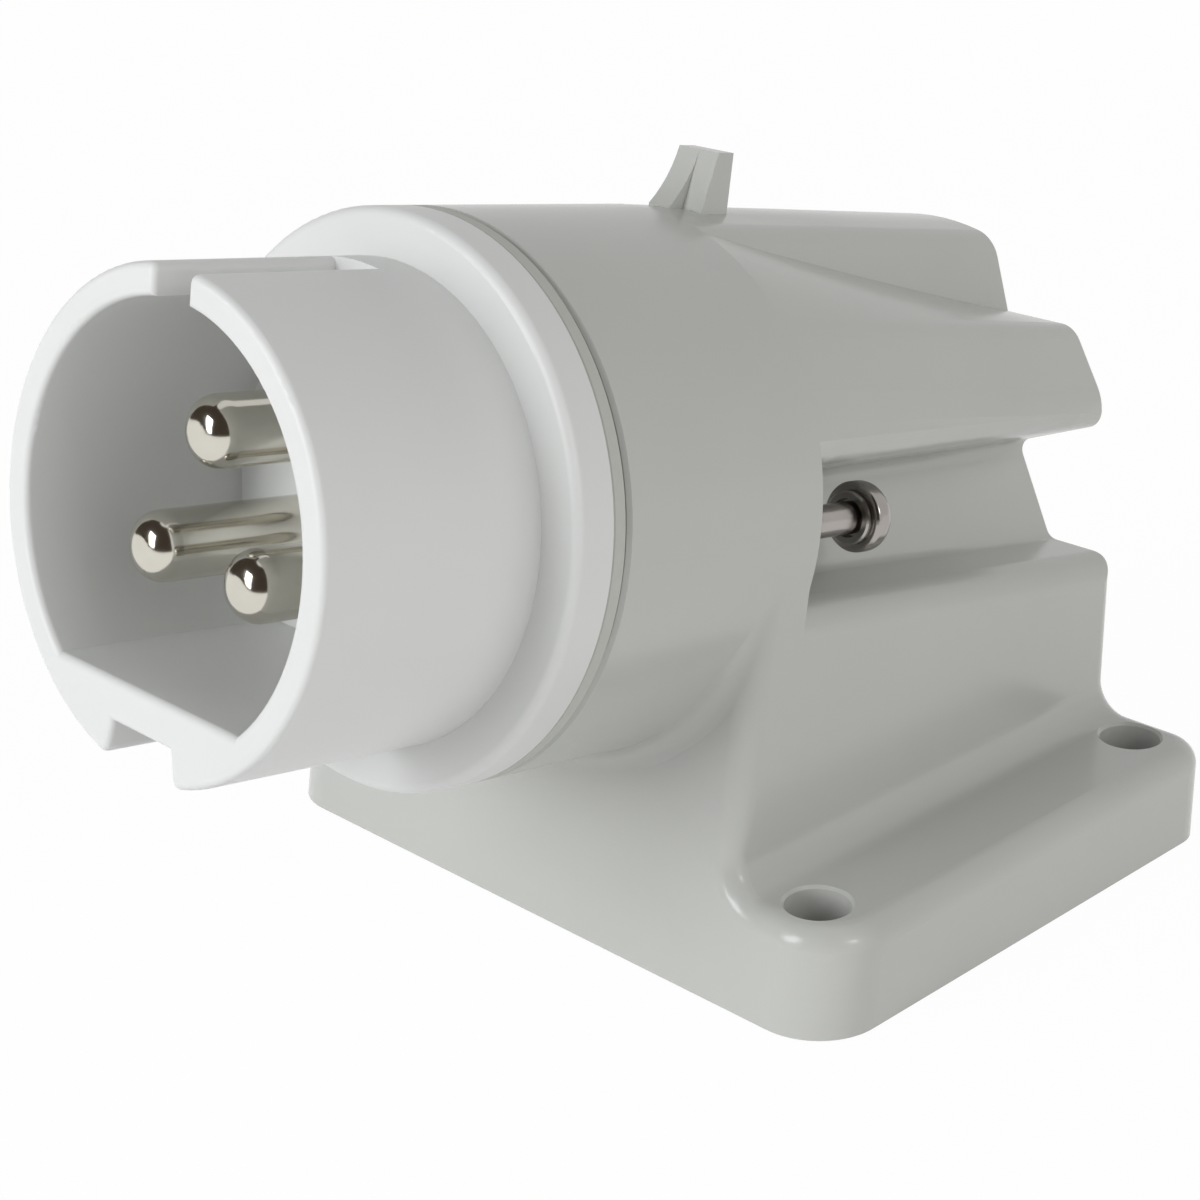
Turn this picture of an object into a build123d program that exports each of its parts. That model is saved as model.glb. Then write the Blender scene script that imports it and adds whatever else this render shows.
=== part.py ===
from build123d import *

import os
from math import cos, hypot, isclose, radians, sin, sqrt, tan

# Angled three-pole panel inlet, in millimetres. The base lies on z = 0 with the centre of its four fixing
# holes at the origin. The plug points along -Y and rises towards its mouth by AXIS_TILT.

# Plug insert: shroud, flange, partition, rear skirt and screw lugs
SHROUD_RADIUS = 24.2
SHROUD_WALL = 3.2
SHROUD_LENGTH = 25.6  # rim to flange, outside
SHROUD_DEPTH = 26.0  # rim to partition, inside
RIM_ROUND = 0.7
KEY_ROUND = 0.9  # outer edges of the slot and keyway
SLOT_WIDTH = 5.2  # slot through the wall at 12 o'clock
SLOT_LENGTH = 21.0
KEYWAY_ANGLE = 25.2  # between the radial walls of the keyway at 6 o'clock
KEYWAY_DEPTH = 4.2  # outside of the shroud to the keyway floor
FLAT_RISE = 5.2  # bore of the shroud to the flat inside it at 6 o'clock
FLANGE_STEP = 4.8
FLANGE_THICK = 4.6
FLANGE_ROUND = 1.0
PARTITION_THICK = 4.5
SKIRT_TAIL = 2.0  # skirt past the contact carrier
LUG_WIDTH = 8.0
LUG_LENGTH = 17.3  # behind the flange
LUG_SKIN = 0.8  # plastic outside the fixing screw
LUG_CLEARANCE = 0.25

# Ring seal between flange and collar
SEAL_THICK = 1.8
SEAL_EDGE = 0.25
SEAL_GAP = 0.3
SEAL_CLEARANCE = 0.15

# Contacts: turned pins with a collar and a bored terminal behind it
PIN_COUNT = 3
PIN_START = 90  # first pin at 12 o'clock
PIN_CIRCLE_RADIUS = 8.6
PIN_RADIUS = 3.5
PIN_SHANK_STEP = 0.4  # thicker where the pin runs through the partition
PIN_RECESS = 4.0  # tip behind the shroud rim
PIN_TIP_ROUND = 2.6
PIN_COLLAR_RADIUS = 5.2
PIN_COLLAR_THICK = 2.0
TERMINAL_RADIUS = 4.3
TERMINAL_LENGTH = 10.5  # behind the contact carrier
WIRE_BORE_RADIUS = 2.3
WIRE_BORE_DEPTH = 9.0
TERMINAL_SCREW_RADIUS = 2.0
TERMINAL_SCREW_LENGTH = 4.6
TERMINAL_SCREW_INSET = 5.5  # behind the contact carrier
CONTACT_CLEARANCE = 0.1

# Contact carrier plate and its screws
CARRIER_THICK = 5.0
CARRIER_CLEARANCE = 0.2
CARRIER_SCREW_INSET = 7.0  # from the bore of the shroud
CARRIER_SCREW_RADIUS = 1.5
CARRIER_SCREW_GRIP = 3.2  # length in the partition
CARRIER_SCREW_HEAD_RADIUS = 2.8
CARRIER_SCREW_HEAD = 2.0
SCREW_CLEARANCE = 0.05

# Housing: base, leaning front, collar, sloping roof with a hump
AXIS_TILT = 9.2
AXIS_HEIGHT = 49.8  # plug axis above the front edge of the base
BASE_DEPTH = 69.3
BASE_LEDGE = 14.8  # base beyond the body, each side
BASE_THICK = 11.6
BASE_SKIN = 2.8  # top of the ledge over its hollow
BASE_FILLET = 3.5
EDGE_ROUND = 2.6
HOLE_RADIUS = 3.5
HOLE_LIP = 0.3
HOLE_INSET = 7.6  # from the front and side edges, and the radius of the front corners
REAR_INSET = 5.9  # rear holes from the rear edge
REAR_CORNER = 4.8
WALL = 2.4
COLLAR_REACH = 21.2  # ahead of the front face
COLLAR_TAIL = 6.7  # behind the front face, to the screw channels
COLLAR_BACK_WALL = 3.5
COLLAR_EDGE = 0.4
COLLAR_PROUD = 0.5  # collar beyond the flat flanks
COLLAR_ROOT = 2.5  # hollow rounding under the collar, which fades out at the flanks
SHOULDER_STRETCHES = (20, 28, 46, 54)  # angles on the collar that run to the bends of the rear outline
SHOULDER_INSET = 4.0  # rear shoulders inside the sides of the collar
SHOULDER_RISE = 7.9  # bend of the rear shoulders to the roof
SHOULDER_BEND_ROUND = 6.0
SHOULDER_ROUND = 3.0
SHOULDER_LEAN = 30.0
ROOF_LAP = 1.0  # shoulders and hump start inside the collar
ROOF_DROP = 10.9  # roof below the collar's crown, at the rear
HUMP_HALF = 8.4
HUMP_DROP = 1.4
HUMP_FLARE = 17.0
HUMP_ROUND = 4.0
HUMP_FOOT = 10.0  # height above the axis where the hump starts, inside the roof

# Catch for the mating connector's lid, on top
CATCH_WIDTH = 5.8
CATCH_HEIGHT = 6.2
CATCH_BACK = 16.3  # rear face behind the front face
CATCH_CREST = 2.3
CATCH_FOOT = 4.0
CATCH_RIB_WIDTH = 3.0
CATCH_RIB_REACH = 6.1
CATCH_RIB_SAG = 0.5

# Open screw channels along the flanks
CHANNEL_ROOF = 7.75  # lip above the screw axis, at the collar
CHANNEL_FLOOR = 7.3
CHANNEL_ROOT = 13.5
CHANNEL_DRAFT = 0.9  # roof and floor part towards the rear
CHANNEL_ROOF_SLOPE = 21.5
CHANNEL_WALL_SLOPE = 25.7
CHANNEL_ROUND = 1.6
LEDGE_ROUND = 3.5  # from the channel's floor to the flank
LEDGE_PROUD = 0.02  # its end beyond the flank
LIP_ROUND = 2.4

# Fixing screws, backed out as far as their keepers allow
SCREW_RADIUS = 1.75
SCREW_LENGTH = 26.5
SCREW_POINT = 0.6
SCREW_HOLE_PLAY = 0.2
SCREW_EXPOSED = 10.5  # bare shank behind the collar
SCREW_HEAD_RADIUS = 3.8
SCREW_HEAD_HEIGHT = 2.8
SCREW_HEAD_ROUND = 1.3
SCREW_HEAD_RIM = 0.6
RECESS_WIDTH = 0.9
RECESS_SPAN = 3.8
RECESS_DEPTH = 1.4
WASHER_RADIUS = 2.9
WASHER_THICK = 0.7
WASHER_EDGE = 0.2
WASHER_PLAY = 0.35
KEEPER_THICK = 1.5
KEEPER_GAP = 0.15

# How near two positions are when they count as the same
SAME_PLACE = 1e-6

# Worked out from the sizes above
tilt = radians(AXIS_TILT)
hole_pitch = BASE_DEPTH - HOLE_INSET - REAR_INSET
front_y = -hole_pitch / 2 - HOLE_INSET
back_y = front_y + BASE_DEPTH
collar_radius = SHROUD_RADIUS + FLANGE_STEP
bore_radius = collar_radius - WALL
lug_radius = bore_radius - LUG_CLEARANCE
screw_offset = lug_radius - LUG_SKIN - SCREW_RADIUS
body_half = collar_radius - COLLAR_PROUD
shoulder_half = collar_radius - SHOULDER_INSET
base_half = body_half + BASE_LEDGE
hole_x = base_half - HOLE_INSET
boss_radius = hole_x - body_half
pocket_side = base_half - WALL
catch_root = collar_radius - WALL / 2
catch_top = collar_radius + CATCH_HEIGHT
shroud_bore = SHROUD_RADIUS - SHROUD_WALL
mid_wall = SHROUD_RADIUS - SHROUD_WALL / 2
inner_flat = shroud_bore - FLAT_RISE
keyway_floor = SHROUD_RADIUS - KEYWAY_DEPTH
carrier_screw_circle = shroud_bore - CARRIER_SCREW_INSET
pin_shank = PIN_RADIUS + PIN_SHANK_STEP
pin_spacing = 360 / PIN_COUNT
carrier_screw_start = PIN_START + pin_spacing / 2

# Places along the plug axis, measured forwards from the leaning front face
seal_back = COLLAR_REACH + SEAL_GAP
flange_back = seal_back + SEAL_THICK
flange_front = flange_back + FLANGE_THICK
rim = flange_front + SHROUD_LENGTH
partition_front = rim - SHROUD_DEPTH
partition_back = partition_front - PARTITION_THICK
pin_seat_front = partition_back + PIN_COLLAR_THICK
carrier_back = partition_back - CARRIER_THICK
skirt_back = carrier_back - SKIRT_TAIL
lug_back = flange_back - LUG_LENGTH
pin_tip = rim - PIN_RECESS
terminal_back = carrier_back - TERMINAL_LENGTH
terminal_screw_at = carrier_back - TERMINAL_SCREW_INSET
bore_back = COLLAR_BACK_WALL - COLLAR_TAIL
washer_front = -COLLAR_TAIL - SCREW_EXPOSED
head_front = washer_front - WASHER_THICK
screw_tip = head_front + SCREW_LENGTH
lug_hole_depth = screw_tip + SCREW_EXPOSED + SCREW_POINT - lug_back

# The leaning front face is square to the plug axis and meets the front edge of the base.
lead = AXIS_HEIGHT * sin(tilt)
front_face = Plane(
    origin=(0, front_y + lead * cos(tilt), AXIS_HEIGHT - lead * sin(tilt)),
    x_dir=(1, 0, 0),
    z_dir=(0, -cos(tilt), sin(tilt)),
)
collar_end = front_face.offset(-COLLAR_TAIL)
roof_start = collar_end.offset(ROOF_LAP)
mid_side = Plane(origin=front_face.origin, x_dir=front_face.z_dir, z_dir=(-1, 0, 0))
plug_axis = Axis(front_face.origin, front_face.z_dir)


def along(forward, up):
    """Point (y, z) in the middle plane, `forward` of the front face and `up` from the plug axis."""
    y = front_face.origin.Y - forward * cos(tilt) + up * sin(tilt)
    z = front_face.origin.Z + forward * sin(tilt) + up * cos(tilt)
    return (y, z)


def level(y, up):
    """Height at y of a line that runs along the plug axis, `up` above it."""
    return AXIS_HEIGHT - (y - front_y) * tan(tilt) + up / cos(tilt)


def rear_plane(inset):
    """Upright plane of the rear wall, with x sideways and y upwards."""
    return Plane.XZ.offset(inset - back_y)


def body_side(inset):
    """Side outline of the body below the plug axis."""
    with BuildSketch(Plane.YZ) as outline:
        with BuildLine():
            Polyline(
                (front_y + inset / cos(tilt), 0),
                (back_y - inset, 0),
                (back_y - inset, level(back_y - inset, 0)),
                along(-inset, 0),
                close=True,
            )
        make_face()
    return outline.sketch


def front_shoulder(inset):
    """Upper half of the collar's outline, cut into the stretches of the rear outline."""
    radius = collar_radius - inset
    far_stretches = [180 - angle for angle in reversed(SHOULDER_STRETCHES)]
    bends = [0, *SHOULDER_STRETCHES, *far_stretches, 180]
    with BuildSketch(roof_start) as outline:
        with BuildLine():
            for start, end in zip(bends, bends[1:]):
                CenterArc((0, 0), radius, start, end - start)
            Line((-radius, 0), (radius, 0))
        make_face()
    return outline.sketch


def rear_shoulder(inset):
    """Rear outline of the shoulders: upright foot, leaning side, rounded corner and flat roof."""
    side = shoulder_half - inset
    foot = level(back_y - inset, 0)
    roof = level(back_y, collar_radius - ROOF_DROP) - inset
    bend = roof + inset - SHOULDER_RISE
    corner = side - (roof - bend) * tan(radians(SHOULDER_LEAN))
    with BuildSketch(rear_plane(inset)) as outline:
        with BuildLine():
            FilletPolyline(
                (side, foot),
                (side, bend),
                (corner, roof),
                (-corner, roof),
                (-side, bend),
                (-side, foot),
                radius=(SHOULDER_BEND_ROUND, SHOULDER_ROUND, SHOULDER_ROUND, SHOULDER_BEND_ROUND),
            )
            Line((-side, foot), (side, foot))
        make_face()
    return outline.sketch


def hump_outline(plane, half, crown, foot, radius):
    """Outline of the hump: domed top between flared sides."""
    edge = crown - radius + sqrt(radius**2 - half**2)
    spread = half + (edge - foot) * tan(radians(HUMP_FLARE))
    with BuildSketch(plane) as outline:
        with BuildLine():
            ThreePointArc((-half, edge), (0, crown), (half, edge))
            Polyline((half, edge), (spread, foot), (-spread, foot), (-half, edge))
        make_face()
        fillet(outline.vertices().group_by(Axis.Y)[-1], HUMP_ROUND)
    return outline.sketch


def hump_sections(inset):
    """Front and rear outlines of the hump."""
    half = HUMP_HALF - inset
    radius = collar_radius - inset
    rear_crown = level(back_y, collar_radius - HUMP_DROP) - inset
    front = hump_outline(roof_start, half, radius, HUMP_FOOT, radius)
    rear = hump_outline(rear_plane(inset), half, rear_crown, level(back_y, HUMP_FOOT), radius)
    return [front, rear]


def channel_outline(start, grow):
    """Section of the right-hand screw channel, square to the screw, widened by `grow`."""
    widen = (-COLLAR_TAIL - start) * tan(radians(CHANNEL_DRAFT))
    roof = CHANNEL_ROOF + widen
    floor = CHANNEL_FLOOR + widen
    roof_slope = tan(radians(CHANNEL_ROOF_SLOPE))
    wall_slope = tan(radians(CHANNEL_WALL_SLOPE))
    outside = body_half + 2 * WALL
    brink = body_half + LEDGE_PROUD
    brink_down = -floor - 2 * LEDGE_ROUND
    lip_up = roof + (outside - body_half) * roof_slope
    root_up = roof - (body_half - CHANNEL_ROOT) * roof_slope
    floor_x = CHANNEL_ROOT + (root_up + floor) * wall_slope
    with BuildSketch(front_face.offset(start)) as outline:
        with BuildLine():
            FilletPolyline(
                (outside, lip_up),
                (CHANNEL_ROOT, root_up),
                (floor_x, -floor),
                (brink, -floor),
                (brink, brink_down),
                radius=(CHANNEL_ROUND, CHANNEL_ROUND, LEDGE_ROUND),
            )
            Polyline((brink, brink_down), (outside, brink_down), (outside, lip_up))
        make_face()
        if grow:
            offset(amount=grow)
    return outline.sketch


def seat(radius, angle):
    """Plane at a point round the plug axis: x points away from the axis, z along it."""
    return Plane(front_face * Rot(0, 0, angle) * Pos(radius, 0, 0))


def turning_plane(centre):
    """Half-section plane of a turned piece on a seat: x is the radius, y runs along the plug axis."""
    return Plane(origin=centre.origin, x_dir=centre.x_dir, z_dir=-centre.y_dir)


def clamp_plane(pin_centre):
    """Plane on a pin's centre line at its terminal screw, facing away from the plug axis."""
    centre = pin_centre.offset(terminal_screw_at)
    return Plane(origin=centre.origin, x_dir=centre.y_dir, z_dir=centre.x_dir)


# Screw channels, and the same with the housing's wall around them
channel_end = -2 * BASE_DEPTH
with BuildPart() as channels:
    loft([channel_outline(-COLLAR_TAIL, 0), channel_outline(channel_end, 0)])
    mirror(about=Plane.YZ)

with BuildPart() as channel_sleeves:
    loft([channel_outline(bore_back, WALL), channel_outline(channel_end, WALL)])
    mirror(about=Plane.YZ)

# Hollow of the housing: wiring space that is open underneath and at the collar's mouth
with BuildPart() as hollow:
    extrude(body_side(WALL), amount=body_half - WALL, both=True)
    loft([front_shoulder(WALL), rear_shoulder(WALL)])
    loft(hump_sections(WALL))
    with BuildSketch(collar_end):
        Circle(bore_radius)
    extrude(amount=COLLAR_TAIL + COLLAR_REACH)
    add(channel_sleeves.part, mode=Mode.SUBTRACT)

# Collar around the plug
with BuildPart() as collar:
    with BuildSketch(collar_end):
        Circle(collar_radius)
    extrude(amount=COLLAR_TAIL + COLLAR_REACH)
    chamfer(collar.edges().sort_by(plug_axis)[-1], COLLAR_EDGE)


def ledge_lines(part):
    """Straight edges along the tops of the base's ledges, from the middle outwards."""
    lines = part.edges().filter_by(Axis.Y)
    lines = lines.filter_by(lambda edge: isclose(edge.center().Z, BASE_THICK, abs_tol=SAME_PLACE))
    return lines.sort_by(lambda edge: abs(edge.center().X))


def lip_edges(part):
    """Edges where the screw channels' roofs meet the shoulders, found from a point near their middles."""
    across = (collar_radius + shoulder_half) / 2
    up = CHANNEL_ROOF - (collar_radius - across) * tan(radians(CHANNEL_ROOF_SLOPE))
    forward = -(COLLAR_TAIL + BASE_DEPTH) / 2
    places = [front_face.from_local_coords((sign * across, up, forward)) for sign in (1, -1)]
    return [part.edges().sort_by_distance(place)[0] for place in places]


# Housing: one-piece moulding
with BuildPart() as housing:
    with BuildSketch(Plane.YZ):
        with BuildLine():
            Polyline(
                (front_y, 0),
                (back_y, 0),
                (back_y, BASE_THICK),
                (front_y + BASE_THICK * tan(tilt), BASE_THICK),
                close=True,
            )
        make_face()
    extrude(amount=base_half, both=True)
    corners = housing.edges().filter_by_position(Axis.Z, 0, BASE_THICK, inclusive=(False, False))
    fillet(corners.group_by(Axis.Y)[0], HOLE_INSET)
    fillet(corners.group_by(Axis.Y)[-1], REAR_CORNER)
    extrude(body_side(0), amount=body_half, both=True)
    fillet(ledge_lines(housing)[:2], BASE_FILLET)
    fillet(ledge_lines(housing)[-2:], EDGE_ROUND)
    add(collar.part)
    collar_arcs = housing.edges().filter_by(GeomType.CIRCLE)
    fillet(collar_arcs.filter_by_position(plug_axis, -SAME_PLACE, SAME_PLACE), COLLAR_ROOT)
    loft([front_shoulder(0), rear_shoulder(0)])
    loft(hump_sections(0))
    add(channels.part, mode=Mode.SUBTRACT)
    fillet(lip_edges(housing), LIP_ROUND)
    with BuildSketch(mid_side):
        with BuildLine():
            Polyline(
                (-CATCH_BACK, catch_root),
                (-CATCH_BACK, catch_top),
                (CATCH_CREST - CATCH_BACK, catch_top),
                (CATCH_FOOT - CATCH_BACK, collar_radius),
                (CATCH_FOOT - CATCH_BACK, catch_root),
                close=True,
            )
        make_face()
    extrude(amount=CATCH_WIDTH / 2, both=True)
    with BuildSketch(mid_side.offset(CATCH_WIDTH / 2)):
        with BuildLine():
            rib_top = (CATCH_CREST - CATCH_BACK, catch_top)
            rib_toe = (CATCH_RIB_REACH - CATCH_BACK, collar_radius)
            SagittaArc(rib_top, rib_toe, -CATCH_RIB_SAG)
            Polyline(
                rib_toe,
                (rib_toe[0], catch_root),
                (-CATCH_BACK, catch_root),
                (-CATCH_BACK, catch_top),
                rib_top,
            )
        make_face()
    extrude(amount=-CATCH_RIB_WIDTH)
    add(hollow.part, mode=Mode.SUBTRACT)
    with BuildSketch():
        with Locations(((body_half + pocket_side) / 2, 0), (-(body_half + pocket_side) / 2, 0)):
            Rectangle(pocket_side - body_half, hole_pitch)
        with GridLocations(2 * hole_x, hole_pitch, 2, 2):
            Circle(boss_radius, mode=Mode.SUBTRACT)
    extrude(amount=BASE_THICK - BASE_SKIN, mode=Mode.SUBTRACT)
    with BuildSketch(collar_end):
        with Locations((screw_offset, 0), (-screw_offset, 0)):
            Circle(SCREW_RADIUS + SCREW_HOLE_PLAY)
    extrude(amount=COLLAR_BACK_WALL, mode=Mode.SUBTRACT)
    with Locations((0, 0, BASE_THICK)):
        with GridLocations(2 * hole_x, hole_pitch, 2, 2):
            CounterSinkHole(HOLE_RADIUS, HOLE_RADIUS + HOLE_LIP, BASE_THICK)


def beside_cut(edge):
    """Whether an edge along the plug lies on the outside of the shroud, beside its slot or keyway."""
    place = front_face.to_local_coords(edge.center())
    on_shroud = isclose(hypot(place.X, place.Y), SHROUD_RADIUS, abs_tol=SAME_PLACE)
    return on_shroud and abs(place.X) > SAME_PLACE


# Plug insert: one-piece moulding, turned outline with its flat, slot, keyway, lugs and bores
with BuildPart() as plug_insert:
    with BuildSketch(mid_side) as section:
        with BuildLine():
            Polyline(
                (skirt_back, shroud_bore),
                (skirt_back, SHROUD_RADIUS),
                (flange_back, SHROUD_RADIUS),
                (flange_back, collar_radius),
                (flange_front, collar_radius),
                (flange_front, SHROUD_RADIUS),
                (rim, SHROUD_RADIUS),
                (rim, shroud_bore),
                (partition_front, shroud_bore),
                (partition_front, 0),
                (partition_back, 0),
                (partition_back, shroud_bore),
                close=True,
            )
        make_face()
        fillet(section.vertices().group_by(Axis.Y)[-1].sort_by(Axis.X)[-1], FLANGE_ROUND)
    revolve(axis=plug_axis)
    with BuildSketch(front_face.offset(partition_front)):
        Circle(mid_wall)
        with Locations((0, -inner_flat)):
            below = (Align.CENTER, Align.MAX)
            Rectangle(2 * SHROUD_RADIUS, SHROUD_RADIUS, align=below, mode=Mode.INTERSECT)
    extrude(amount=SHROUD_DEPTH)
    with BuildSketch(front_face.offset(rim)):
        with Locations((0, mid_wall)):
            Rectangle(SLOT_WIDTH, 2 * SHROUD_WALL)
    extrude(amount=-SLOT_LENGTH, mode=Mode.SUBTRACT)
    with BuildSketch(front_face.offset(flange_front)):
        with BuildLine():
            keyway_side = tan(radians(KEYWAY_ANGLE / 2))
            Polyline(
                (-keyway_floor * keyway_side, -keyway_floor),
                (keyway_floor * keyway_side, -keyway_floor),
                (collar_radius * keyway_side, -collar_radius),
                (-collar_radius * keyway_side, -collar_radius),
                close=True,
            )
        make_face()
    extrude(amount=SHROUD_LENGTH, mode=Mode.SUBTRACT)
    fillet(plug_insert.edges().filter_by(plug_axis).filter_by(beside_cut), KEY_ROUND)
    fillet(plug_insert.faces().sort_by(plug_axis)[-1].edges(), RIM_ROUND)
    with BuildSketch(front_face.offset(lug_back)):
        Circle(lug_radius)
        Rectangle(2 * lug_radius, LUG_WIDTH, mode=Mode.INTERSECT)
        Circle(shroud_bore, mode=Mode.SUBTRACT)
    extrude(amount=LUG_LENGTH)
    with BuildSketch(front_face.offset(lug_back)):
        with Locations((screw_offset, 0), (-screw_offset, 0)):
            Circle(SCREW_RADIUS + SCREW_CLEARANCE)
    extrude(amount=lug_hole_depth, mode=Mode.SUBTRACT)
    with BuildSketch(front_face.offset(partition_back)):
        with PolarLocations(PIN_CIRCLE_RADIUS, PIN_COUNT, start_angle=PIN_START):
            Circle(pin_shank + CONTACT_CLEARANCE)
    extrude(amount=PARTITION_THICK, mode=Mode.SUBTRACT)
    with BuildSketch(front_face.offset(partition_back)):
        with PolarLocations(PIN_CIRCLE_RADIUS, PIN_COUNT, start_angle=PIN_START):
            Circle(PIN_COLLAR_RADIUS + CONTACT_CLEARANCE)
    extrude(amount=PIN_COLLAR_THICK, mode=Mode.SUBTRACT)
    with BuildSketch(front_face.offset(partition_back)):
        with PolarLocations(carrier_screw_circle, PIN_COUNT, start_angle=carrier_screw_start):
            Circle(CARRIER_SCREW_RADIUS + SCREW_CLEARANCE)
    extrude(amount=CARRIER_SCREW_GRIP, mode=Mode.SUBTRACT)

# Ring seal behind the flange
with BuildPart() as flange_seal:
    with BuildSketch(front_face.offset(seal_back)):
        Circle(collar_radius)
        Circle(lug_radius + SEAL_CLEARANCE, mode=Mode.SUBTRACT)
    extrude(amount=SEAL_THICK)
    chamfer(flange_seal.edges().filter_by(GeomType.CIRCLE).group_by(SortBy.RADIUS)[-1], SEAL_EDGE)

# Contact carrier: plate that closes the partition's pin seats from behind
with BuildPart() as contact_carrier:
    with BuildSketch(front_face.offset(carrier_back)):
        Circle(shroud_bore - CARRIER_CLEARANCE)
        with PolarLocations(PIN_CIRCLE_RADIUS, PIN_COUNT, start_angle=PIN_START):
            Circle(TERMINAL_RADIUS + CONTACT_CLEARANCE, mode=Mode.SUBTRACT)
        with PolarLocations(carrier_screw_circle, PIN_COUNT, start_angle=carrier_screw_start):
            Circle(CARRIER_SCREW_RADIUS + SCREW_CLEARANCE, mode=Mode.SUBTRACT)
    extrude(amount=CARRIER_THICK)

housing.part.label = "housing"
plug_insert.part.label = "plug_insert"
flange_seal.part.label = "flange_seal"
contact_carrier.part.label = "contact_carrier"
os.makedirs("parts", exist_ok=True)
export_step(housing.part, "parts/housing.step")
export_step(plug_insert.part, "parts/plug_insert.step")
export_step(flange_seal.part, "parts/flange_seal.step")
export_step(contact_carrier.part, "parts/contact_carrier.step")

# Contacts, each with its terminal screw and a screw of the carrier
for number in range(PIN_COUNT):
    pin_centre = seat(PIN_CIRCLE_RADIUS, PIN_START + number * pin_spacing)
    with BuildPart() as contact_pin:
        with BuildSketch(turning_plane(pin_centre)) as section:
            with BuildLine():
                Polyline(
                    (0, terminal_back),
                    (TERMINAL_RADIUS, terminal_back),
                    (TERMINAL_RADIUS, partition_back),
                    (PIN_COLLAR_RADIUS, partition_back),
                    (PIN_COLLAR_RADIUS, pin_seat_front),
                    (pin_shank, pin_seat_front),
                    (pin_shank, partition_front),
                    (PIN_RADIUS, partition_front),
                    (PIN_RADIUS, pin_tip),
                    (0, pin_tip),
                    close=True,
                )
            make_face()
            fillet(section.vertices().group_by(Axis.Y)[-1].sort_by(Axis.X)[-1], PIN_TIP_ROUND)
        revolve(axis=Axis(pin_centre.origin, pin_centre.z_dir))
        with BuildSketch(pin_centre.offset(terminal_back)):
            Circle(WIRE_BORE_RADIUS)
        extrude(amount=WIRE_BORE_DEPTH, mode=Mode.SUBTRACT)
        with BuildSketch(clamp_plane(pin_centre)):
            Circle(TERMINAL_SCREW_RADIUS + SCREW_CLEARANCE)
        extrude(amount=TERMINAL_RADIUS, mode=Mode.SUBTRACT)
    contact_pin.part.label = f"contact_pin_{number + 1}"
    export_step(contact_pin.part, f"parts/{contact_pin.part.label}.step")

    with BuildPart() as terminal_screw:
        with BuildSketch(clamp_plane(pin_centre).offset(WIRE_BORE_RADIUS)):
            Circle(TERMINAL_SCREW_RADIUS)
        extrude(amount=TERMINAL_SCREW_LENGTH)
        outer_end = terminal_screw.faces().sort_by(Axis(pin_centre.origin, pin_centre.x_dir))[-1]
        with BuildSketch(outer_end):
            Rectangle(RECESS_WIDTH, 2 * TERMINAL_SCREW_RADIUS)
        extrude(amount=-RECESS_DEPTH, mode=Mode.SUBTRACT)
    terminal_screw.part.label = f"terminal_screw_{number + 1}"
    export_step(terminal_screw.part, f"parts/{terminal_screw.part.label}.step")

    screw_centre = seat(carrier_screw_circle, carrier_screw_start + number * pin_spacing)
    with BuildPart() as carrier_screw:
        with BuildSketch(turning_plane(screw_centre)) as section:
            with BuildLine():
                Polyline(
                    (0, carrier_back - CARRIER_SCREW_HEAD),
                    (CARRIER_SCREW_HEAD_RADIUS, carrier_back - CARRIER_SCREW_HEAD),
                    (CARRIER_SCREW_HEAD_RADIUS, carrier_back),
                    (CARRIER_SCREW_RADIUS, carrier_back),
                    (CARRIER_SCREW_RADIUS, partition_back + CARRIER_SCREW_GRIP),
                    (0, partition_back + CARRIER_SCREW_GRIP),
                    close=True,
                )
            make_face()
            fillet(section.vertices().group_by(Axis.Y)[0].sort_by(Axis.X)[-1], CARRIER_SCREW_HEAD / 2)
        revolve(axis=Axis(screw_centre.origin, screw_centre.z_dir))
        with BuildSketch(screw_centre.offset(carrier_back - CARRIER_SCREW_HEAD)):
            Rectangle(RECESS_WIDTH, RECESS_SPAN)
            Rectangle(RECESS_SPAN, RECESS_WIDTH)
        extrude(amount=RECESS_DEPTH, mode=Mode.SUBTRACT)
    carrier_screw.part.label = f"carrier_screw_{number + 1}"
    export_step(carrier_screw.part, f"parts/{carrier_screw.part.label}.step")

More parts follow.
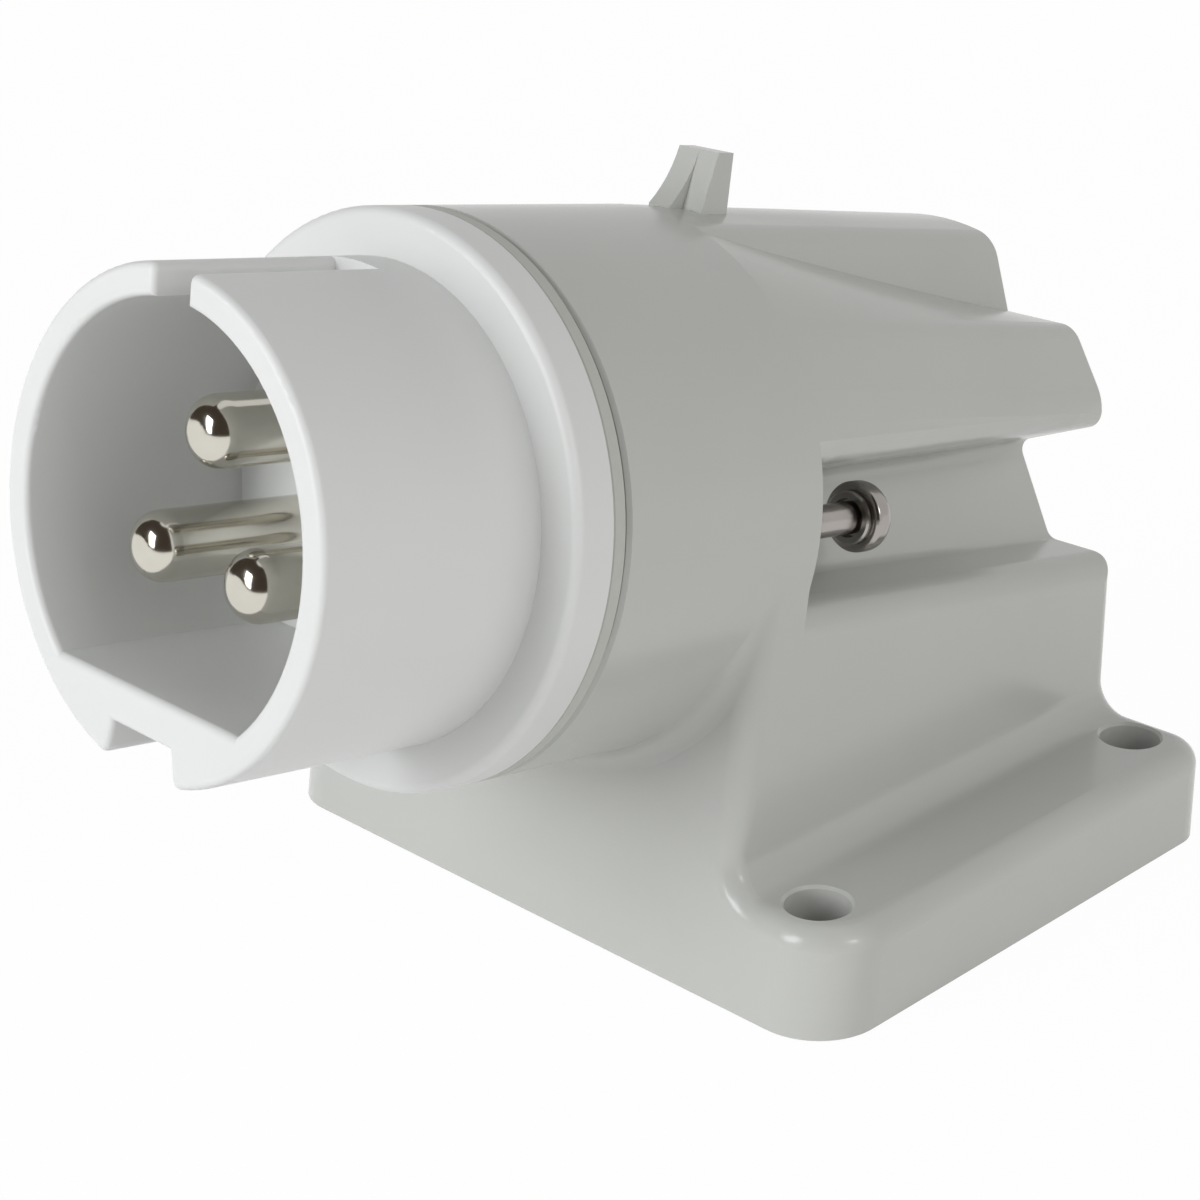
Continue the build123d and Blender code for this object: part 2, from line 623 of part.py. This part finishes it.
# Fixing screws with their washers and keepers, one set on each side
for side, angle in (("right", 0), ("left", 180)):
    screw_centre = seat(screw_offset, angle)
    with BuildPart() as fixing_screw:
        with BuildSketch(turning_plane(screw_centre)) as section:
            with BuildLine():
                Polyline(
                    (0, head_front - SCREW_HEAD_HEIGHT),
                    (SCREW_HEAD_RADIUS, head_front - SCREW_HEAD_HEIGHT),
                    (SCREW_HEAD_RADIUS, head_front),
                    (SCREW_RADIUS, head_front),
                    (SCREW_RADIUS, screw_tip),
                    (0, screw_tip),
                    close=True,
                )
            make_face()
            fillet(section.vertices().group_by(Axis.Y)[0].sort_by(Axis.X)[-1], SCREW_HEAD_ROUND)
            fillet(section.vertices().group_by(Axis.X)[-1].sort_by(Axis.Y)[-1], SCREW_HEAD_RIM)
            chamfer(section.vertices().group_by(Axis.Y)[-1].sort_by(Axis.X)[-1], SCREW_POINT)
        revolve(axis=Axis(screw_centre.origin, screw_centre.z_dir))
        with BuildSketch(screw_centre.offset(head_front - SCREW_HEAD_HEIGHT)):
            Rectangle(RECESS_WIDTH, RECESS_SPAN)
            Rectangle(RECESS_SPAN, RECESS_WIDTH)
        extrude(amount=RECESS_DEPTH, mode=Mode.SUBTRACT)
    fixing_screw.part.label = f"fixing_screw_{side}"
    export_step(fixing_screw.part, f"parts/{fixing_screw.part.label}.step")

    with BuildPart() as fixing_washer:
        with BuildSketch(screw_centre.offset(head_front)):
            Circle(WASHER_RADIUS)
            Circle(SCREW_RADIUS + WASHER_PLAY, mode=Mode.SUBTRACT)
        extrude(amount=WASHER_THICK)
        chamfer(fixing_washer.edges().filter_by(GeomType.CIRCLE).group_by(SortBy.RADIUS)[-1], WASHER_EDGE)
    fixing_washer.part.label = f"fixing_washer_{side}"
    export_step(fixing_washer.part, f"parts/{fixing_washer.part.label}.step")

    with BuildPart() as screw_keeper:
        with BuildSketch(screw_centre.offset(bore_back)):
            Circle(bore_radius - KEEPER_GAP - screw_offset)
            Circle(SCREW_RADIUS + SCREW_CLEARANCE, mode=Mode.SUBTRACT)
        extrude(amount=KEEPER_THICK)
    screw_keeper.part.label = f"screw_keeper_{side}"
    export_step(screw_keeper.part, f"parts/{screw_keeper.part.label}.step")
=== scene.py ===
# %% [markdown]
# # An angled panel inlet, dressed for a studio photograph
# The solids of this industrial plug are already exact: a grey housing on a bolt-down base, a white insert
# with its shroud and flange, three round contacts and the screws that hold it together. This lesson gives
# each of them a finish, adds the screw threads that the solids leave out, and lights and frames the result.

import math

import bpy
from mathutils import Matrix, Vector


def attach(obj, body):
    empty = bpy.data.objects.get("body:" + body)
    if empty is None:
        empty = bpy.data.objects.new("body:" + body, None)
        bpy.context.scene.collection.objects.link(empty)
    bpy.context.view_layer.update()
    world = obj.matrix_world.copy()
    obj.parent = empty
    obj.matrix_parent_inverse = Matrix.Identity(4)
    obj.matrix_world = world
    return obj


MM = 0.001

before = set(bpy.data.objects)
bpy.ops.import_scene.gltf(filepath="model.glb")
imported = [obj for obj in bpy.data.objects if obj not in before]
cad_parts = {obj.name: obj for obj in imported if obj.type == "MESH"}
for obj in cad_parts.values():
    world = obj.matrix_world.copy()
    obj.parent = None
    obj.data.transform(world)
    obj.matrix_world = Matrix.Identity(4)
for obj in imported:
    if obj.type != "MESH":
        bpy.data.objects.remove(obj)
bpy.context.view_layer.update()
scene = bpy.context.scene


# %% [markdown]
# ## The camera
# The picture looks down on the plug from its front right, near enough for the mouth of the shroud to look
# larger than the base. The camera's place and lens were worked out from the round mouth and the straight
# edges of the base, so they are written down here as numbers. The object sits a little off the middle of
# the picture, and the lens shift brings that about without turning the camera.

# %% Camera
PICTURE_WIDTH = 1200
FOCAL_PIXELS = 2526.27
PRINCIPAL_POINT = (650.6, 525.6)
SENSOR_WIDTH = 36.0
CLIP_START = 10 * MM
CAMERA_PLACE = Vector((182.53, -203.23, 137.16)) * MM
CAMERA_TURN = (69.65, 0.0, 44.22)

lens = bpy.data.cameras.new("studio_camera")
lens.sensor_width = SENSOR_WIDTH
lens.lens = FOCAL_PIXELS / PICTURE_WIDTH * SENSOR_WIDTH
lens.shift_x = 0.5 - PRINCIPAL_POINT[0] / PICTURE_WIDTH
lens.shift_y = PRINCIPAL_POINT[1] / PICTURE_WIDTH - 0.5
lens.clip_start = CLIP_START
camera = bpy.data.objects.new("studio_camera", lens)
camera.location = CAMERA_PLACE
camera.rotation_euler = [math.radians(angle) for angle in CAMERA_TURN]
scene.collection.objects.link(camera)
scene.camera = camera
scene.view_settings.view_transform = "Standard"
print("lens", round(lens.lens, 2), "mm, shift", round(lens.shift_x, 4), round(lens.shift_y, 4))

# %% [markdown]
# ## Nodes from expressions
# Every finish below is a small sum: a colour, a little variation in it, a roughness and a relief. Wiring
# such sums by hand is slow to read, so a socket is wrapped in a class whose operators add the Math nodes.
# One method adds any other kind of node: its settings first, then the numbers or links of its sockets. It
# serves materials, the sky and the tree that winds the screw threads alike.

# %% Sockets that add up


class Wire:
    """An output socket of a node tree: each operator on it adds one Math node."""

    def __init__(self, owner, socket):
        self.owner = owner
        self.socket = socket

    def maths(self, operation, *terms):
        return self.owner.node("ShaderNodeMath", {"operation": operation}, terms)

    def __add__(self, other):
        return self.maths("ADD", self, other)

    def __mul__(self, other):
        return self.maths("MULTIPLY", self, other)

    def either(self, other):
        """The larger of two values."""
        return self.maths("MAXIMUM", self, other)

    __radd__ = __add__
    __rmul__ = __mul__


class Tree:
    """A node tree under construction."""

    def __init__(self, tree):
        self.tree = tree
        tree.nodes.clear()

    def node(self, kind, settings=None, sockets=(), output=0):
        """Adds a node: settings first, then sockets by place or by name. Gives one of its outputs, if any."""
        node = self.tree.nodes.new(kind)
        for key, value in (settings or {}).items():
            setattr(node, key, value)
        pairs = sockets.items() if isinstance(sockets, dict) else enumerate(sockets)
        for key, value in pairs:
            if isinstance(value, Wire):
                self.tree.links.new(value.socket, node.inputs[key])
            else:
                node.inputs[key].default_value = value
        return Wire(self, node.outputs[output]) if node.outputs else None


# %% [markdown]
# A finish is such a tree inside a material. It always reads the object's own coordinates, so that its noise
# stays in place when the part moves, and its sizes are in millimetres like those of the part.

# %% A material under construction
MIX_SHARE, MIX_FIRST, MIX_SECOND, MIX_RESULT = 0, 6, 7, 2  # a Mix node's sockets when it mixes colours


class Finish(Tree):
    """A material under construction."""

    def __init__(self, name):
        self.material = bpy.data.materials.new(name)
        self.material.use_nodes = True
        super().__init__(self.material.node_tree)
        self.place = self.node("ShaderNodeTexCoord", output="Object")

    def noise(self, size, detail, place=None):
        """Noise between 0 and 1 whose lumps are about `size` across, in millimetres."""
        sockets = {"Vector": place or self.place, "Scale": 1 / (size * MM), "Detail": detail}
        return self.node("ShaderNodeTexNoise", None, sockets)

    def blend(self, share, first, second):
        """A colour between two, by a share from 0 to 1."""
        sockets = {MIX_SHARE: share, MIX_FIRST: (*first, 1.0), MIX_SECOND: (*second, 1.0)}
        return self.node("ShaderNodeMix", {"data_type": "RGBA"}, sockets, MIX_RESULT)

    def relief(self, height, depth):
        """Normals of a relief that is `depth` millimetres deep."""
        return self.node("ShaderNodeBump", None, {"Height": height, "Distance": depth * MM}, "Normal")

    def end(self, shader):
        """Ends the finish in a shader."""
        self.node("ShaderNodeOutputMaterial", None, {"Surface": shader})
        return self.material

    def surface(self, sockets):
        """Ends the finish in a Principled shader."""
        return self.end(self.node("ShaderNodeBsdfPrincipled", None, sockets, "BSDF"))


def linear(*shades):
    """Linear colour from the 0 to 255 shades that a picture shows, by the sRGB curve."""
    return tuple((s / 255 / 12.92) if s < 11 else ((s / 255 + 0.055) / 1.055) ** 2.4 for s in shades)


def dress(material, *names):
    """Puts a finish on solids, through the material slots of their objects."""
    for name in names:
        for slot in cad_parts[name].material_slots:
            slot.material = material
    print(material.name, "on", ", ".join(names))


# %% [markdown]
# ## Housing and insert
# The housing is one moulding in a light grey polyamide. Fresh from the mould it is smooth and half glossy,
# with a very fine grain that only shows where a light grazes it, and cloudy patches where the melt cooled
# at different speeds. Both are noise in the object's own coordinates: lumps of many millimetres for the
# clouds, a fraction of one for the grain. The insert, with shroud, flange and partition, is one white
# moulding. It takes the same recipe, but is more matt, and has less contrast, because white hides flow marks.

# %% Moulded finishes
PLASTIC_IOR = 1.5
GRAIN_DETAIL = 2.0
GRAIN_DEPTH = 0.003
GRAIN_MATTS = 0.04  # roughness that the grain adds


def moulded_plastic(name, dark, light, cloud, cloud_detail, grain, roughness, cloud_matts):
    """Smooth moulding with clouds and grain of the given sizes, in millimetres."""
    finish = Finish(name)
    clouds = finish.noise(cloud, cloud_detail)
    speckle = finish.noise(grain, GRAIN_DETAIL)
    return finish.surface({
        "Base Color": finish.blend(clouds, linear(*dark), linear(*light)),
        "Roughness": roughness + cloud_matts * clouds + GRAIN_MATTS * speckle,
        "IOR": PLASTIC_IOR,
        "Normal": finish.relief(speckle, GRAIN_DEPTH),
    })


housing_material = moulded_plastic(
    "housing_grey",
    dark=(183, 184, 180),
    light=(189, 190, 186),
    cloud=24.0,
    cloud_detail=3.0,
    grain=0.45,
    roughness=0.17,
    cloud_matts=0.06,
)
insert_material = moulded_plastic(
    "insert_white",
    dark=(214, 215, 213),
    light=(219, 220, 219),
    cloud=18.0,
    cloud_detail=2.0,
    grain=0.4,
    roughness=0.34,
    cloud_matts=0.08,
)
dress(housing_material, "housing")
dress(insert_material, "plug_insert")

# %% [markdown]
# ## Seal, carrier and keepers
# The ring between flange and collar is soft and matt, a little darker than the housing. Behind the partition
# the contact carrier and the small rings that keep the screws captive are plain technical plastic. One noise
# is enough for these: it mottles the colour, the roughness and the relief together.

# %% Soft and plain plastics
MOTTLE_DETAIL = 3.0
MOTTLE_MATTS = 0.12  # roughness that the mottle adds


def plain_plastic(name, dark, light, lump, roughness, depth):
    """Matt plastic or rubber with a fine dusty mottle, its lumps and depth in millimetres."""
    finish = Finish(name)
    mottle = finish.noise(lump, MOTTLE_DETAIL)
    return finish.surface({
        "Base Color": finish.blend(mottle, linear(*dark), linear(*light)),
        "Roughness": roughness + MOTTLE_MATTS * mottle,
        "Normal": finish.relief(mottle, depth),
    })


seal_material = plain_plastic(
    "seal_grey", dark=(180, 181, 175), light=(188, 189, 184), lump=1.2, roughness=0.55, depth=0.01
)
carrier_material = plain_plastic(
    "carrier_plastic", dark=(196, 195, 188), light=(206, 205, 199), lump=2.5, roughness=0.45, depth=0.006
)
keeper_material = plain_plastic(
    "keeper_plastic", dark=(186, 186, 180), light=(198, 198, 192), lump=1.5, roughness=0.45, depth=0.006
)
dress(seal_material, "flange_seal")
dress(carrier_material, "contact_carrier")
dress(keeper_material, "screw_keeper_right", "screw_keeper_left")

# %% [markdown]
# ## Turned metal
# The contacts are turned from brass and plated with nickel, the screws are bright steel. A lathe leaves
# faint rings square to the axis, so their noise reads only the distance along the plug's axis. The rings go
# into the roughness and a relief of a thousandth of a millimetre, which is enough to draw reflections out
# along the pin.

# %% Turned finishes
AXIS_TILT = math.radians(9.2)
PLUG_AXIS = Vector((0.0, -math.cos(AXIS_TILT), math.sin(AXIS_TILT)))
PLUG_UP = Vector((0.0, math.sin(AXIS_TILT), math.cos(AXIS_TILT)))
METAL_DETAIL = 3.0
TARNISH_LUMP = 3.5
RING_MATTS = 0.08  # roughness that the rings add
TARNISH_MATTS = 0.06  # roughness that the tarnish adds
NUMBERS = (1, 2, 3)  # of contacts, and of the screws that go with them


def turned_metal(name, dark, light, ring, roughness, depth):
    """Plated metal with lathe rings `ring` millimetres apart along the plug's axis."""
    finish = Finish(name)
    along = finish.node(
        "ShaderNodeVectorMath", {"operation": "DOT_PRODUCT"}, [finish.place, PLUG_AXIS], "Value"
    )
    column = finish.node("ShaderNodeCombineXYZ", None, [along, 0.0, 0.0])
    rings = finish.noise(ring, METAL_DETAIL, column)
    tarnish = finish.noise(TARNISH_LUMP, METAL_DETAIL)
    return finish.surface({
        "Base Color": finish.blend(tarnish, linear(*dark), linear(*light)),
        "Metallic": 1.0,
        "Roughness": roughness + RING_MATTS * rings + TARNISH_MATTS * tarnish,
        "Normal": finish.relief(rings, depth),
    })


contact_material = turned_metal(
    "contact_nickel", dark=(202, 198, 187), light=(219, 216, 206), ring=0.35, roughness=0.07, depth=0.0008
)
screw_material = turned_metal(
    "screw_steel", dark=(156, 151, 147), light=(178, 173, 169), ring=0.25, roughness=0.14, depth=0.001
)
washer_material = turned_metal(
    "washer_steel", dark=(160, 157, 153), light=(178, 174, 170), ring=0.20, roughness=0.18, depth=0.001
)
dress(contact_material, *[f"contact_pin_{number}" for number in NUMBERS])
dress(screw_material, *[f"{kind}_screw_{number}" for kind in ("carrier", "terminal") for number in NUMBERS])
dress(screw_material, "fixing_screw_right", "fixing_screw_left")
dress(washer_material, "fixing_washer_right", "fixing_washer_left")

# %% [markdown]
# ## Screw threads
# The solids have plain shanks. On the real screws a ridge winds round the front end of each fixing screw,
# which bites into the insert, and round the part of each terminal screw that stands out of its contact. One
# Geometry Nodes tree winds a right-handed spiral, sweeps a small diamond along it and copies the result to
# every start point, turned along the direction stored there. Modelling the ridge by hand would repeat the
# same spiral five times.

# %% A tree that winds threads
STEPS_PER_TURN = 24
DIAMOND_CORNERS = 4

threads = Tree(bpy.data.node_groups.new("screw_thread", "GeometryNodeTree"))
for name, kind in (
    ("Starts", "Geometry"),
    ("Core Radius", "Float"),
    ("Pitch", "Float"),
    ("Turns", "Float"),
    ("Ridge", "Float"),
    ("Finish", "Material"),
):
    threads.tree.interface.new_socket(name, in_out="INPUT", socket_type=f"NodeSocket{kind}")
threads.tree.interface.new_socket("Threads", in_out="OUTPUT", socket_type="NodeSocketGeometry")


def given(name):
    """One of the tree's own inputs."""
    return threads.node("NodeGroupInput", output=name)


spiral = threads.node("GeometryNodeCurveSpiral", None, {
    "Resolution": STEPS_PER_TURN,
    "Rotations": given("Turns"),
    "Start Radius": given("Core Radius"),
    "End Radius": given("Core Radius"),
    "Height": given("Pitch") * given("Turns"),
    "Reverse": True,
})
diamond = threads.node("GeometryNodeCurvePrimitiveCircle", None, {
    "Resolution": DIAMOND_CORNERS,
    "Radius": given("Ridge"),
})
ridge = threads.node("GeometryNodeCurveToMesh", None, {
    "Curve": spiral,
    "Profile Curve": diamond,
    "Fill Caps": True,
})
stored = threads.node(
    "GeometryNodeInputNamedAttribute", {"data_type": "FLOAT_VECTOR"}, {"Name": "direction"}, "Attribute"
)
turn = threads.node("FunctionNodeAlignRotationToVector", {"axis": "Z"}, {"Vector": stored})
copies = threads.node("GeometryNodeInstanceOnPoints", None, {
    "Points": given("Starts"),
    "Instance": ridge,
    "Rotation": turn,
})
solid = threads.node("GeometryNodeRealizeInstances", None, [copies])
steel = threads.node("GeometryNodeSetMaterial", None, {"Geometry": solid, "Material": given("Finish")})
threads.node("NodeGroupOutput", None, [steel])
print("thread tree with", len(threads.tree.nodes), "nodes")

# %% [markdown]
# A maker object holds the start points and the tree as its modifier. The modifier's inputs are set by their
# identifiers before anything is evaluated. Then the result becomes a plain mesh and the maker goes.

# %% A function that winds them


def wind(name, starts, directions, sizes):
    """One mesh of threads that start at points and run along directions."""
    points = bpy.data.meshes.new(f"{name}_starts")
    points.from_pydata(starts, [], [])
    attribute = points.attributes.new("direction", "FLOAT_VECTOR", "POINT")
    for item, direction in zip(attribute.data, directions):
        item.vector = direction
    maker = bpy.data.objects.new(f"{name}_maker", points)
    scene.collection.objects.link(maker)
    modifier = maker.modifiers.new("threads", "NODES")
    modifier.node_group = threads.tree
    for socket in threads.tree.interface.items_tree:
        if socket.name in sizes:
            modifier[socket.identifier] = sizes[socket.name]
    shown = maker.evaluated_get(bpy.context.evaluated_depsgraph_get())
    piece = bpy.data.objects.new(name, bpy.data.meshes.new_from_object(shown))
    maker.modifiers.remove(modifier)
    bpy.data.objects.remove(maker)
    scene.collection.objects.link(piece)
    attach(piece, "root")
    print(name, len(piece.data.polygons), "faces")


# %% [markdown]
# The start points are measured as the part itself is: sideways, up from the plug's axis and forwards of the
# housing's leaning front.

# %% Threads on the screws
FRONT_FACE = Vector((0.0, -27.6403, 48.527))
SCREW_OFFSET = 23.8
FIXING_FORWARD = -1.4  # just ahead of the keeper
CONTACT_CIRCLE = 8.6
CONTACT_ANGLES = (90, 210, 330)
TERMINAL_FORWARD = 12.5
TERMINAL_OUT = 4.5  # from the contact's centre line, just outside its terminal


def on_plug(sideways, up, forward):
    """Point in metres from millimetres measured on the plug."""
    return (FRONT_FACE + Vector((sideways, 0, 0)) + up * PLUG_UP + forward * PLUG_AXIS) * MM


fixing_sizes = {
    "Core Radius": 1.75 * MM,
    "Pitch": 0.6 * MM,
    "Turns": 14.0,
    "Ridge": 0.17 * MM,
    "Finish": screw_material,
}
terminal_sizes = {
    "Core Radius": 2.0 * MM,
    "Pitch": 0.5 * MM,
    "Turns": 2.0,
    "Ridge": 0.15 * MM,
    "Finish": screw_material,
}
fixing_starts = [on_plug(side * SCREW_OFFSET, 0, FIXING_FORWARD) for side in (1, -1)]
outwards = [(math.cos(math.radians(angle)), math.sin(math.radians(angle))) for angle in CONTACT_ANGLES]
reach = CONTACT_CIRCLE + TERMINAL_OUT
terminal_starts = [on_plug(x * reach, up * reach, TERMINAL_FORWARD) for x, up in outwards]
terminal_ways = [Vector((x, 0, 0)) + up * PLUG_UP for x, up in outwards]
wind("fixing_threads", fixing_starts, [PLUG_AXIS, PLUG_AXIS], fixing_sizes)
wind("terminal_threads", terminal_starts, terminal_ways, terminal_sizes)

# %% [markdown]
# ## The studio
# The plug stands on a pale sheet in front of white, and the sheet throws light back up. Sheet and sky show
# white to the camera and to shiny surfaces, and are dimmer as lights, so colours keep their own level.

# %% Floor and sky
AMBIENT = 0.32
PAPER_WHITE = 0.97  # share of plain white that the camera sees in the sheet, the rest is shadow
PAPER_SHADE = (0.92, 0.92, 0.92, 1.0)
FLOOR_HALF = 3.0
FLOOR_DROP = 0.2 * MM  # below the underside of the base
SQUARE = ((-1, -1), (1, -1), (1, 1), (-1, 1))


def mirrored_ray(tree):
    """1 for rays that the camera, a reflection or glass sends out, 0 for those that gather light."""
    seen = tree.node("ShaderNodeLightPath", output="Is Camera Ray")
    gloss = tree.node("ShaderNodeLightPath", output="Is Glossy Ray")
    through = tree.node("ShaderNodeLightPath", output="Is Transmission Ray")
    return seen.either(gloss).either(through)


sheet = bpy.data.meshes.new("studio_floor")
sheet.from_pydata([(x * FLOOR_HALF, y * FLOOR_HALF, 0) for x, y in SQUARE], [], [(0, 1, 2, 3)])
floor = bpy.data.objects.new("studio_floor", sheet)
floor.location.z = -FLOOR_DROP
scene.collection.objects.link(floor)
paper = Finish("floor_paper")
paper_shade = paper.node("ShaderNodeBsdfDiffuse", None, {"Color": PAPER_SHADE}, "BSDF")
paper_glow = paper.node("ShaderNodeEmission", None, {"Strength": 1.0}, "Emission")
paper_share = mirrored_ray(paper) * PAPER_WHITE
paper_mix = paper.node("ShaderNodeMixShader", None, [paper_share, paper_shade, paper_glow], "Shader")
sheet.materials.append(paper.end(paper_mix))

scene.world = bpy.data.worlds.new("studio_sky")
scene.world.use_nodes = True
sky = Tree(scene.world.node_tree)
brightness = AMBIENT + (1.0 - AMBIENT) * mirrored_ray(sky)
glow = sky.node("ShaderNodeBackground", None, {"Strength": brightness})
sky.node("ShaderNodeOutputWorld", None, {"Surface": glow})
print("sky", AMBIENT, "as a light")

# %% [markdown]
# Each lamp is a soft rectangle that faces the plug: a window at the front left, a fill before the mouth, a
# wide panel along the right-hand side, a small lamp above that, and low fills behind and on the left for the
# sides that the camera doesn't see. Its place is given as a compass direction, in degrees from the plug's
# right-hand side, and a height above the horizon, because that is how highlights on rounded corners are
# read. The fills and the panel only light matt surfaces, so that shiny ones mirror the window and the small
# lamp alone. Daylight is a touch cooler than the light of the room.

# %% Lamps
OBJECT_MIDDLE = Vector((0.0, -0.02, 0.045))
DAYLIGHT = (0.97, 0.985, 1.0)
ROOM_LIGHT = (1.0, 0.985, 0.95)


def towards(direction, height):
    """Unit vector for a compass direction and a height above the horizon, in degrees."""
    around, rise = math.radians(direction), math.radians(height)
    return Vector((math.cos(around) * math.cos(rise), math.sin(around) * math.cos(rise), math.sin(rise)))


def lamp(name, direction, height, distance, size, power, tint, mirrored):
    """A soft rectangular lamp that faces the plug, and shows in shiny surfaces where `mirrored` is true."""
    light = bpy.data.lights.new(name, "AREA")
    light.shape = "RECTANGLE"
    light.size, light.size_y = size
    light.energy = power
    light.color = tint
    way = towards(direction, height)
    holder = bpy.data.objects.new(name, light)
    holder.location = OBJECT_MIDDLE + way * distance
    holder.rotation_euler = (-way).to_track_quat("-Z", "Y").to_euler()
    holder.visible_glossy = mirrored
    scene.collection.objects.link(holder)
    print(name, "at", [round(value, 2) for value in holder.location], "power", power)


lamp(
    "left_window", direction=-104, height=20, distance=1.0, size=(0.36, 0.52), power=4.3,
    tint=DAYLIGHT, mirrored=True,
)
lamp(
    "front_fill", direction=-97, height=20, distance=1.0, size=(0.40, 0.60), power=2.6,
    tint=DAYLIGHT, mirrored=False,
)
lamp(
    "right_panel", direction=8, height=18, distance=1.5, size=(2.40, 1.20), power=8.8,
    tint=ROOM_LIGHT, mirrored=False,
)
lamp(
    "right_spark", direction=-5, height=28, distance=1.0, size=(0.16, 0.22), power=0.9,
    tint=DAYLIGHT, mirrored=True,
)
lamp(
    "rear_fill", direction=100, height=12, distance=1.2, size=(1.20, 0.40), power=3.5,
    tint=ROOM_LIGHT, mirrored=False,
)
lamp(
    "left_fill", direction=178, height=8, distance=1.2, size=(1.20, 0.30), power=4.0,
    tint=ROOM_LIGHT, mirrored=False,
)

# %% [markdown]
# Polished metal shows whatever stands around it. All white, the pins would look like chalk, so a band that
# glows a dim brown stands round the side of the camera and paints a dark reflection into them, in place of
# the darker room. Only reflections see it: it throws no shadow, takes no light away and stays out of the
# picture. It is a band of a dome, which leaves the lamps in front of it.

# %% Dark screen, a painted reflection
SCREEN_REACH = 1.6
SCREEN_SIDES = (-200, -20)  # compass directions of its ends
SCREEN_HEIGHTS = (2, 75)  # degrees above the horizon
SCREEN_COLUMNS = 30
SCREEN_ROWS = 12
# painted reflection: the dim brown that the glowing band shows in shiny surfaces
PAINTED_REFLECTION_SHADE = (70, 62, 55)


def spread(ends, steps):
    """Evenly spaced values from one end to the other."""
    first, last = ends
    return [first + (last - first) * step / steps for step in range(steps + 1)]


knots = [
    towards(direction, height) * SCREEN_REACH
    for height in spread(SCREEN_HEIGHTS, SCREEN_ROWS)
    for direction in spread(SCREEN_SIDES, SCREEN_COLUMNS)
]
above = SCREEN_COLUMNS + 1  # knots from one row to the next
corners = [row * above + column for row in range(SCREEN_ROWS) for column in range(SCREEN_COLUMNS)]
band = bpy.data.meshes.new("painted_reflection_band")
band.from_pydata(knots, [], [(c, c + 1, c + 1 + above, c + above) for c in corners])
screen = bpy.data.objects.new("painted_reflection_band", band)
scene.collection.objects.link(screen)
reflection_paint = Finish("screen_cloth")
# the band glows: a painted dark reflection that only shiny surfaces see
painted_reflection_glow = {"Color": (*linear(*PAINTED_REFLECTION_SHADE), 1.0), "Strength": 1.0}
band.materials.append(reflection_paint.end(reflection_paint.node("ShaderNodeEmission", None, painted_reflection_glow, "Emission")))
screen.visible_camera = False
screen.visible_diffuse = False
screen.visible_shadow = False
print("screen of", len(band.polygons), "faces")
